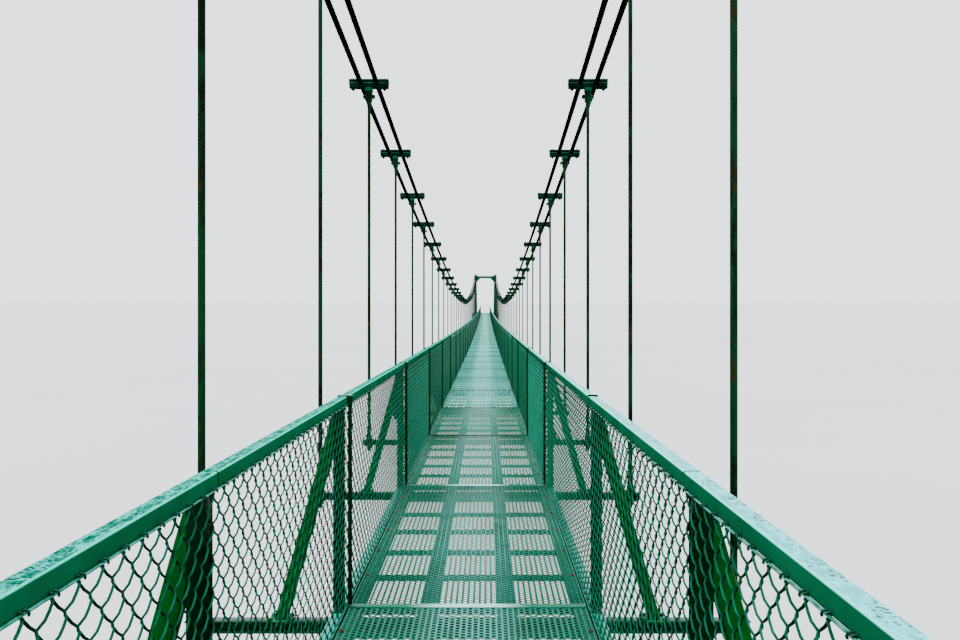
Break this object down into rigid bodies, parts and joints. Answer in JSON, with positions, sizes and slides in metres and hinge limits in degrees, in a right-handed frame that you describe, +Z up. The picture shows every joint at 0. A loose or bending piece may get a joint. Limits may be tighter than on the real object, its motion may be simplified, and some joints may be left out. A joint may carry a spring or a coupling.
{
  "type": "rope suspension footbridge, 1:10 scale model",
  "caption": "Long narrow footbridge hung on twin wire ropes, with a grating deck, chain-link railings, portal towers and backstays to concrete blocks, as a 1:10 model.",
  "frame": {"origin": "centre of the bridge on the ground that its abutments and anchor blocks stand on", "axes": "+Y along the bridge from the near end to the far end, +X to the right across it, +Z up"},
  "size_m": [0.38, 13.0452, 0.8543],
  "materials": {
    "rail_paint": "wet glossy green paint with dirt at the joints",
    "deck_paint": "wet teal green paint, worn, with rust specks",
    "netting_coating": "green coated wire",
    "tower_paint": "satin green paint",
    "wire_rope": "dark greased twisted wire",
    "clamp_paint": "dark green paint with rust at the bolts",
    "hanger_steel": "mottled green paint with rust and moss",
    "concrete": "damp weathered concrete"
  },
  "bodies": {
    "root": {"near_abutment": "concrete", "near_tower_crossbeam": "tower_paint", "near_left_anchor_block": "concrete", "near_left_tower_leg": "tower_paint", "near_left_rope_saddle": "tower_paint", "near_right_anchor_block": "concrete", "near_right_tower_leg": "tower_paint", "near_right_rope_saddle": "tower_paint", "far_abutment": "concrete", "far_tower_crossbeam": "tower_paint", "far_left_anchor_block": "concrete", "far_left_tower_leg": "tower_paint", "far_left_rope_saddle": "tower_paint", "far_right_anchor_block": "concrete", "far_right_tower_leg": "tower_paint", "far_right_rope_saddle": "tower_paint", "deck_frame_1": "deck_paint", "deck_grating_1": "deck_paint", "left_railing_1": "rail_paint", "left_netting_1": "netting_coating", "right_railing_1": "rail_paint", "right_netting_1": "netting_coating", "deck_frame_2": "deck_paint", "deck_grating_2": "deck_paint", "left_railing_2": "rail_paint", "left_netting_2": "netting_coating", "right_railing_2": "rail_paint", "right_netting_2": "netting_coating", "deck_frame_3": "deck_paint", "deck_grating_3": "deck_paint", "left_railing_3": "rail_paint", "left_netting_3": "netting_coating", "right_railing_3": "rail_paint", "right_netting_3": "netting_coating", "deck_frame_4": "deck_paint", "deck_grating_4": "deck_paint", "left_railing_4": "rail_paint", "left_netting_4": "netting_coating", "right_railing_4": "rail_paint", "right_netting_4": "netting_coating", "left_main_ropes_and_hangers": "wire_rope", "right_main_ropes_and_hangers": "wire_rope"}
  },
  "joints": []
}
